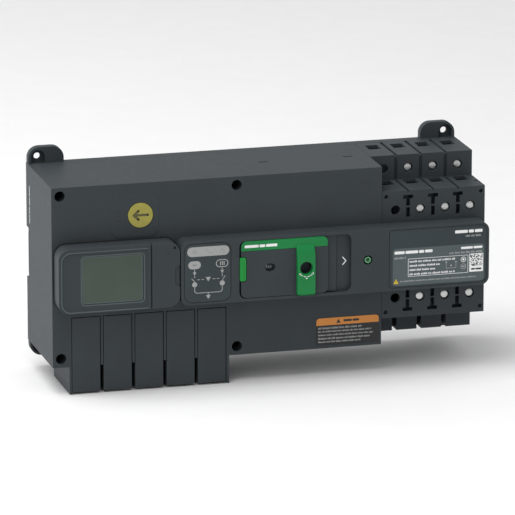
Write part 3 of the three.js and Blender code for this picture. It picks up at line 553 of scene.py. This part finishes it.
def rating_print():
    """Name bars, framed rows, a field of random cells and a plain sign, none of them readable."""
    corner = face_corner("rating_label")
    wide, tall = width_and_height("rating_label")
    slate = Print("rating_panel", "rating_label", "slate", corner)
    white = Print("rating_marks", "rating_label", "white", corner, layer=2)
    pale = Print("rating_small_marks", "rating_label", "pale", corner, layer=2)
    dark = Print("rating_cells", "rating_label", "dark", corner, layer=3)
    rim = Print("rating_rim", "rating_label", "dark", corner)
    amber = Print("rating_sign", "rating_label", "yellow", corner, layer=2)

    rim.frame((0.1, wide - 0.1), (0.1, tall - 0.1), 3.0, 0.3)
    slate.bar((2.4, wide - 1.9), (13.2, 39.7), 2.6)

    # name bars and the small rows beside them
    white.long_bars((47.2, 67.0), (2.9, 5.0), (5, 2, 3))
    pale.text_row((55.0, 67.0), (6.4, 7.9), seed=4)
    white.long_bars((3.6, 31.0), (15.1, 17.1), (4, 5, 2, 3))
    pale.text_row((3.6, 12.4), (19.0, 20.6), seed=6)
    white.long_bars((51.6, 67.0), (14.9, 16.5), (4, 3))
    pale.text_row((43.2, 67.0), (17.9, 19.5), seed=8)

    # framed rows, changeover sketch and two plain rings
    white.frame((13.4, 56.8), (20.8, 33.6), 0.4, 0.3)
    framed_left, framed_tall = 14.5, 1.5
    framed_rows = ((48.0, 22.1), (36.5, 25.1), (33.0, 28.1), (47.5, 31.1))
    for row, (end, top) in enumerate(framed_rows):
        white.text_row((framed_left, end), (top, top + framed_tall), seed=11 + row)
    fork_left, fork_right = 41.0, 48.0
    pale.line([(fork_left, 25.6), (fork_left, 29.4), (fork_right, 29.4), (fork_right, 25.6)], 0.3)
    for u in (fork_left, fork_right):
        pale.shape([(u - 0.9, 25.5), (u, 24.3), (u + 0.9, 25.5)])
    pale.bar((43.9, 45.1), (27.0, 28.2), 0.3)
    white.ring(53.4, 23.9, 1.9, 0.4)
    white.disc(53.4, 23.9, 0.8)
    pale.ring(53.4, 28.9, 2.0, 0.4)
    pale.bar((52.4, 54.4), (28.4, 29.4), 0.2)

    # white field with random cells
    white.bar((57.7, 67.7), (20.2, 33.2), 0.3)
    pale.text_row((7.6, 63.0), (36.0, 37.1), seed=19)

    draw = random.Random(41)
    columns, rows, cell, cell_gap = 13, 12, 0.69, 0.02
    filled = 0.5
    first_u, first_v = 58.2, 20.7
    for column in range(columns):
        for row in range(rows):
            if draw.random() < filled:
                u, v = first_u + column * cell, first_v + row * cell
                dark.bar((u + cell_gap, u + cell - cell_gap), (v + cell_gap, v + cell - cell_gap))
    dark.long_bars((59.0, 66.4), (30.6, 31.8), (2, 3))
    dark.bar((4.65, 4.95), (36.0, 37.3))
    amber.shape([(2.9, 38.2), (4.8, 34.8), (6.7, 38.2)])
    for marks in (rim, slate, white, pale, amber, dark):
        marks.finish("label_grey")


def warning_print():
    corner = face_corner("warning_label")
    left, top, right, header, curve = 0.1, 0.1, 45.1, 5.3, 2.3
    orange = Print("caution_band", "warning_label", "orange", corner)
    dark = Print("caution_marks", "warning_label", "dark", corner, layer=2)
    pale = Print("caution_rows", "warning_label", "pale", corner)
    upper_left = arc_points(left + curve, top + curve, curve, 2 * QUARTER_TURN, 3 * QUARTER_TURN)
    upper_right = arc_points(right - curve, top + curve, curve, 3 * QUARTER_TURN, FULL_TURN)
    orange.shape(upper_left + upper_right + [(right, header), (left, header)])
    dark.shape([(14.4, 4.1), (16.0, 1.1), (17.6, 4.1)])
    dark.long_bars((19.7, 30.8), (1.8, 3.4), (4, 3))
    row_left = 1.5
    rows = ((33.0, 6.5, 1.5), (40.0, 9.1, 1.2), (41.0, 11.6, 1.2), (39.0, 14.0, 1.4), (32.0, 16.5, 1.2))
    for row, (end, row_top, tall) in enumerate(rows):
        pale.text_row((row_left, end), (row_top, row_top + tall), seed=31 + row)
    for marks in (orange, dark, pale):
        marks.finish("label_warning")


# ---------------------------------------------------------------- marks on the controls

SLIDER_TRAVEL = 16.1 * MM


def slider_print():
    strap_low, strap_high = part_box("slider_trim")
    nose_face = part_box("front_cover")[0].y

    name = Print("slider_marks", "slider_trim", "white", Vector((strap_low.x, nose_face, strap_high.z)))
    name.long_bars((2.4, 25.5), (2.9, 4.8), (5, 2, 4))
    name.finish("green_plastic")

    spindle = front_centre("drive_spindle")
    hole = Vector((spindle.x - SLIDER_TRAVEL, strap_low.y, spindle.z))
    arrow = Print("turn_arrow", "slider_trim", "white", hole)
    below, radius, stroke, dash, tip_half = 90, 6.1, 0.4, 16, 0.8
    dash_starts, feet, tips = (-42, -22, 4, 28), 47, 56
    for start in dash_starts:
        arrow.arc(0, 0, radius, below + start, below + start + dash, stroke)
    for side in (-1, 1):
        tip = math.radians(below + side * tips)
        foot = math.radians(below + side * feet)
        outer, inner = radius + tip_half, radius - tip_half
        arrow.shape([(radius * math.cos(tip), radius * math.sin(tip)),
                     (outer * math.cos(foot), outer * math.sin(foot)),
                     (inner * math.cos(foot), inner * math.sin(foot))])
    arrow.shape([(-0.8, radius + 0.7), (0.8, radius + 0.7), (0, radius + 1.8)])
    arrow.finish("green_plastic")

    behind_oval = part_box("slider_cover")[1].y - 3.38 * MM
    position = Print("position_mark", "front_cover", "grey", Vector((0, behind_oval, 0)))
    position.text_row((-6.2, -2.2), (-1.8, 0.6), seed=53)
    position.finish("housing_plastic")

    tab = Print("tab_grip", "lock_tab", "lens_rim", face_corner("lock_tab"))
    ridges, pitch = 9, 1.6
    for ridge in range(ridges):
        tab.bar((3.2, 3.7), (3.2 + ridge * pitch, 3.8 + ridge * pitch), 0.2)
    tab.finish("green_plastic")


def lamp_print():
    rim_place = front_centre("status_light_pipe")
    dish_depth = 0.8 * MM
    dark = Print("lamp_centre", "status_light_pipe", "dark", rim_place + BACK * dish_depth)
    dark.disc(0, 0, 1.0)
    dark.finish("lens_green")
    rim = Print("lamp_rims", "status_light_pipe", "lens_rim", rim_place)
    rim.ring(0, 0, 1.55, 0.4)
    rim.ring(0, 0, 2.25, 0.2)
    rim.finish("lens_green")


def dial_print():
    """Arrow of painted shade laid flat over the moulded arrow groove, in three overlapping strokes, each
    in a layer of its own, with round ends.
    """
    arrow = Print("dial_arrow_painted_shade", "selector_dial", "olive", front_centre("selector_dial"))
    tip, tail, width, head_length = -4.8, 5.2, 1.7, 4.6
    head_turn = math.radians(42)
    arrow.line([(-3.9, 0), (tail, 0)], width)
    arrow.disc(tail, 0, width / 2)
    for side in (-1, 1):
        arrow.layer += 1
        along = Vector((math.cos(head_turn * side), math.sin(head_turn * side)))
        start, end = [Vector((tip, 0)) + along * reach for reach in (-0.2, head_length)]
        arrow.line([tuple(start), tuple(end)], width)
        arrow.disc(*end, width / 2)
    arrow.finish("yellow_plastic")


# ---------------------------------------------------------------- marks on the casing

LABEL_PROUD = 0.05 * MM
DIAL_PLATE_PROUD = 0.35 * MM
SLIDE_FLOOR_MARK = Vector((49.9 * MM, -82.4 * MM, 0.8 * MM))
SIDE_MARK_START = Vector((cad_box[0][0], -3.6 * MM, 22 * MM))


def cover_print():
    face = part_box("warning_label")[0].y + LABEL_PROUD
    marks = Print("cover_marks", "front_cover", "faint", Vector((0, face, 0)))
    for u, v, way in ((76.1, -52.6, 1), (76.2, -31.3, 1), (76.0, 33.2, -1)):
        marks.line([(u - 0.6 * way, v - 1.5), (u + 0.6 * way, v), (u - 0.6 * way, v + 1.5)], 0.45)
        marks.text_row((u - 11.5, u - 3.2), (v - 1.2, v + 1.3), seed=71)
    marks.finish("housing_plastic")

    corner = face_corner("controller_body")
    wide, tall = width_and_height("controller_body")
    # painted shadow: a dark frame on the cover round the controller stands in for the shade along the
    # controller's edge
    gap = Print("controller_painted_shadow", "front_cover", "dark", Vector((corner.x, face, corner.z)))
    shadow_offset, controller_corner, stroke = 0.9, 8.0, 1.2
    gap.frame((-shadow_offset, wide + shadow_offset), (-shadow_offset, tall + shadow_offset),
              controller_corner + shadow_offset, stroke)
    gap.finish("housing_plastic")

    dial = front_centre("selector_dial")
    scale = Print("dial_scale", "front_cover", "faint", Vector((dial.x, face - DIAL_PLATE_PROUD, dial.z)))
    for v in (-3.0, 0.0, 3.0):
        scale.bar((-17.5, -12.5), (v - 0.5, v + 0.5), 0.2)
    scale.arc(0, 0, 11.5, 120, 165, 0.5)
    for top, bottom in ((8.8, 10.0), (10.8, 12.0)):
        scale.bar((8.4, 11.4), (top, bottom), 0.2)
    scale.finish("housing_plastic")

    window = Print("slide_arrow", "front_cover", "white", SLIDE_FLOOR_MARK)
    window.line([(-1.2, -2.8), (1.2, 0), (-1.2, 2.8)], 0.75)
    window.finish("housing_plastic")

    tier_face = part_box("terminal_housing")[0].y
    tier = Print("tier_marks", "terminal_housing", "dark", Vector((0, tier_face, 0)))
    boundary_from_screw, base_v, tip_v = 6.0, 43.2, 44.4
    for pole in (1, 2, 3):
        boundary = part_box(f"load_screw_{pole}")[0].x / MM - boundary_from_screw
        tier.shape([(boundary - 1.0, base_v), (boundary + 1.0, base_v), (boundary, tip_v)])
    tier.finish("housing_plastic")

    side = Print("side_marks", "front_cover", "white", SIDE_MARK_START, along=UP, down=FRONT)
    side.text_row((0.0, 27.0), (0.2, 2.0), seed=61)
    side.finish("housing_plastic")

    low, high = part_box("controller_flap")
    flap = Print("flap_mark", "controller_flap", "dark", Vector((high.x, low.y, high.z)))
    flap.ring(-8.0, 7.2, 1.0, 0.3)
    flap.line([(-7.2, 8.0), (-6.2, 9.0)], 0.3)
    flap.finish("housing_plastic")


def display_print():
    """Rim on the glass, wider border on the bezel's floor, and a painted highlight line round the bezel's
    bottom, left and top.
    """
    glass = face_corner("lcd_glass")
    wide, tall = width_and_height("lcd_glass")
    inset, floor_to_glass = 0.12, 0.4 * MM
    band = Print("lcd_rim", "lcd_glass", "glass_rim", glass)
    band.frame((inset, wide - inset), (inset, tall - inset), 1.8, 0.7)
    band.finish("lcd")

    border = Print("lcd_border", "controller_body", "glass_rim", glass + FRONT * floor_to_glass)
    border.frame((-1.0, wide + 1.5), (-1.0, tall + 1.2), 3.0, 0.75)
    border.finish("housing_plastic")

    face = Vector((glass.x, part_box("controller_body")[0].y, glass.z))
    # painted highlight: a lighter line standing in for light caught on the bezel's raised edge, on its
    # bottom, left and top
    rim = Print("bezel_painted_highlight", "controller_body", "slate", face)
    left, right, top, bottom, corner = -14.4, 46.0, -3.7, 38.3, 6.5
    lower_left = arc_points(left + corner, bottom - corner, corner, QUARTER_TURN, 2 * QUARTER_TURN)
    upper_left = arc_points(left + corner, top + corner, corner, 2 * QUARTER_TURN, 3 * QUARTER_TURN)
    rim.line([(right, bottom)] + lower_left + upper_left + [(right, top)], 0.7)
    rim.finish("housing_plastic")


# ---------------------------------------------------------------- screws

# cross recess: depth, reach of an arm, half its width, and how it narrows from mouth to foot
RECESS_DEEP, RECESS_MOUTH = 1.7, -1.0
RECESS_ARM, RECESS_HALF = 1.75, 0.42
MOUTH_SCALE, FOOT_SCALE = 1.25, 0.55
HEAD_DEEP, NECK = 2.4, 2.6
THREAD_START, THREAD_PITCH, THREAD_DEEP, THREAD_END = 3.4, 0.9, 0.35, 1.5
SHANK_SHARE = 0.62
SCREW_EDGE = 0.08 * MM
LATHE_STEPS = 48


def lathe(mesh, profile):
    """Closed turned body about Y; the profile is pairs of radius and place along Y, in millimetres."""
    turns = [FULL_TURN * i / LATHE_STEPS for i in range(LATHE_STEPS)]
    rings = [[mesh.verts.new((radius * MM * math.cos(t), y * MM, radius * MM * math.sin(t)))
              for t in turns] for radius, y in profile]
    for a, b in zip(rings, rings[1:]):
        for i in range(LATHE_STEPS):
            after = (i + 1) % LATHE_STEPS
            mesh.faces.new((a[i], a[after], b[after], b[i]))
    mesh.faces.new(rings[0])
    mesh.faces.new(rings[-1])


def cross_tool():
    """Two crossed wedges that cut the recess."""
    mesh = bmesh.new()
    bar = [(-RECESS_ARM, -RECESS_HALF), (RECESS_ARM, -RECESS_HALF),
           (RECESS_ARM, RECESS_HALF), (-RECESS_ARM, RECESS_HALF)]
    for turn in (0, QUARTER_TURN):
        rings = []
        for y, scale in ((RECESS_MOUTH, MOUTH_SCALE), (RECESS_DEEP, FOOT_SCALE)):
            rings.append([mesh.verts.new((
                (u * scale * math.cos(turn) - v * math.sin(turn)) * MM, y * MM,
                (u * scale * math.sin(turn) + v * math.cos(turn)) * MM)) for u, v in bar])
        mouth, foot = rings
        for i in range(4):
            after = (i + 1) % 4
            mesh.faces.new((mouth[i], foot[i], foot[after], mouth[after]))
        mesh.faces.new(mouth[::-1])
        mesh.faces.new(foot)
    return mesh


def to_object(name, mesh):
    bmesh.ops.recalc_face_normals(mesh, faces=mesh.faces)
    data = bpy.data.meshes.new(name)
    mesh.to_mesh(data)
    mesh.free()
    return add_object(name, data)


def screw_shape(head, shank, length):
    """One screw along +Y with the crown of its head at y = 0: crowned head, cross recess, thread."""
    mesh = bmesh.new()
    crown = [(0.4, 0.0), (head * 0.6, 0.06), (head * 0.86, 0.22), (head, 0.55)]
    profile = crown + [(head, HEAD_DEEP), (shank, NECK)]
    at = THREAD_START
    while at < length - THREAD_END:
        profile += [(shank, at), (shank - THREAD_DEEP, at + THREAD_PITCH * 0.45),
                    (shank, at + THREAD_PITCH * 0.9)]
        at += THREAD_PITCH
    profile += [(shank - 0.5, length)]
    lathe(mesh, profile)
    screw = to_object("screw_blank", mesh)
    tool = to_object("screw_tool", cross_tool())
    add_modifier(screw, "BOOLEAN", object=tool, operation="DIFFERENCE", solver="EXACT")
    bpy.context.view_layer.update()
    shaped = bpy.data.meshes.new_from_object(screw.evaluated_get(bpy.context.evaluated_depsgraph_get()))
    for used in (screw, tool):
        bpy.data.objects.remove(used)
    return shaped


def add_screws():
    shapes = {}
    for node in sorted(frame["nodes"]):
        if "_screw_" not in node:
            continue
        low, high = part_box(node)
        head = (high.x - low.x) / 2 / MM
        length = (high.y - low.y) / MM
        key = round(head, 1)
        if key not in shapes:
            shapes[key] = screw_shape(head, head * SHANK_SHARE, length)
        data = shapes[key].copy()
        slot = "steel" if node.startswith("cover") else "screw_steel"
        data.materials.clear()
        data.materials.append(SLOTS[slot])
        piece = add_object(node + "_turned", data)
        piece.location = front_centre(node)
        keep_edges(piece)
        add_modifier(piece, "BEVEL", width=SCREW_EDGE, segments=2, limit_method="ANGLE",
                     angle_limit=SHARP)
        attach(piece, body_of(node))
        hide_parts(node)


# ---------------------------------------------------------------- build

add_camera()
add_world(WORLD_STRENGTH)
for light in AREA_LIGHTS:
    add_area_light(*light)
add_floor(finish("floor_paint", FLOOR_COLOUR, 0.8, grain=0.0, clouds=0.01, wear_and_sheen=0.0,
                 round_edges=False))
dress_nodes()
mimic_print()
rating_print()
warning_print()
slider_print()
lamp_print()
dial_print()
cover_print()
display_print()
add_screws()
